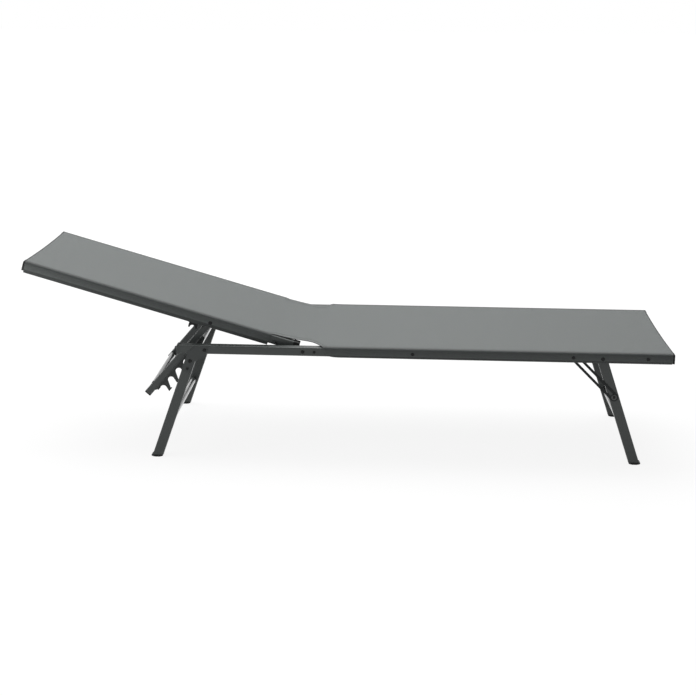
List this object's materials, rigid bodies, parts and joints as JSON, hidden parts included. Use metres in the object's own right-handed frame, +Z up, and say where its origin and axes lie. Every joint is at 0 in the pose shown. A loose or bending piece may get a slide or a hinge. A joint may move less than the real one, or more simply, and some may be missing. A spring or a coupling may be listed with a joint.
{
  "type": "sun lounger",
  "caption": "Folding sun lounger with a tube frame, a woven sling, a backrest held by a notched prop, and legs that fold under the seat.",
  "frame": {"origin": "on the floor, under the middle of the lounger as it stands", "axes": "+X towards the foot end, +Y to the left of a person lying on it, +Z up"},
  "size_m": [1.874, 0.5912, 0.5694],
  "materials": {
    "frame_paint": "satin",
    "plate_paint": "satin",
    "black_plastic": "matte",
    "dark_bolts": "satin",
    "sling_cloth": "matte"
  },
  "bodies": {
    "seat_frame": {"seat_rail_right": "frame_paint", "seat_rail_left": "frame_paint", "middle_cross_tube": "frame_paint", "foot_cross_tube": "frame_paint", "seat_rail_plugs": "black_plastic", "cross_tube_bolts": "dark_bolts", "hinge_bracket_right": "plate_paint", "hinge_bracket_left": "plate_paint", "hinge_pivot_bolts": "dark_bolts", "hinge_bracket_bolts": "dark_bolts", "rear_pivot_bolts": "dark_bolts", "front_pivot_bolts": "dark_bolts", "front_leg_spacers": "black_plastic", "brace_pivot_rivets": "dark_bolts", "brace_spacers": "black_plastic", "seat_sling": "sling_cloth"},
    "backrest": {"backrest_rail_right": "frame_paint", "backrest_rail_left": "frame_paint", "backrest_head_tube": "frame_paint", "backrest_lower_tube": "frame_paint", "backrest_plugs": "black_plastic", "hinge_plate_right": "plate_paint", "hinge_plate_left": "plate_paint", "hinge_plate_screws": "dark_bolts", "prop_pivot_bolts": "dark_bolts", "prop_spacers": "black_plastic", "rest_saddle_right": "black_plastic", "rest_saddle_left": "black_plastic", "backrest_sling": "sling_cloth"},
    "prop": {"prop_arm_right": "frame_paint", "prop_arm_left": "frame_paint", "rack_plate_right": "plate_paint", "rack_plate_left": "plate_paint", "prop_cross_tube": "frame_paint", "prop_end_caps": "black_plastic", "rack_rivets": "dark_bolts"},
    "rear_legs": {"rear_leg_right": "frame_paint", "rear_leg_left": "frame_paint", "leg_plate_right": "plate_paint", "leg_plate_left": "plate_paint", "rack_cross_tube": "frame_paint", "rear_leg_tube": "frame_paint", "rack_tube_bolts": "dark_bolts", "leg_plate_rivets": "dark_bolts", "rear_foot_right": "black_plastic", "rear_foot_left": "black_plastic"},
    "front_legs": {"front_leg_right": "frame_paint", "front_leg_left": "frame_paint", "front_leg_tube": "frame_paint", "front_leg_caps": "black_plastic", "front_foot_right": "black_plastic", "front_foot_left": "black_plastic"},
    "right_brace": {"brace_right": "plate_paint", "brace_bolt_right": "dark_bolts"},
    "left_brace": {"brace_left": "plate_paint", "brace_bolt_left": "dark_bolts"}
  },
  "joints": [
    {"name": "backrest_recline", "type": "hinge", "parent": "seat_frame", "child": "backrest", "pos_m": [-0.11904, 0, 0.3265], "axis": [0, 1, 0], "range_deg": [0, 29.1]},
    {"name": "prop_swing", "type": "hinge", "parent": "backrest", "child": "prop", "pos_m": [-0.38966, 0, 0.3985], "axis": [0, 1, 0], "range_deg": [0, 65.27]},
    {"name": "rear_leg_fold", "type": "hinge", "parent": "seat_frame", "child": "rear_legs", "pos_m": [-0.40244, 0, 0.3265], "axis": [0, -1, 0], "range_deg": [0, 109.1]},
    {"name": "front_leg_fold", "type": "hinge", "parent": "seat_frame", "child": "front_legs", "pos_m": [0.73496, 0, 0.3242], "axis": [0, 1, 0], "range_deg": [0, 109]},
    {"name": "right_brace_swing", "type": "hinge", "parent": "seat_frame", "child": "right_brace", "pos_m": [0.65196, 0, 0.3265], "axis": [0, 1, 0], "range_deg": [0, 132.44]},
    {"name": "left_brace_swing", "type": "hinge", "parent": "seat_frame", "child": "left_brace", "pos_m": [0.65196, 0, 0.3265], "axis": [0, 1, 0], "range_deg": [0, 132.44]}
  ],
  "couplings": [
    {"joint": "right_brace_swing", "follows": "front_leg_fold", "ratio": 1.2142},
    {"joint": "left_brace_swing", "follows": "front_leg_fold", "ratio": 1.2142}
  ]
}
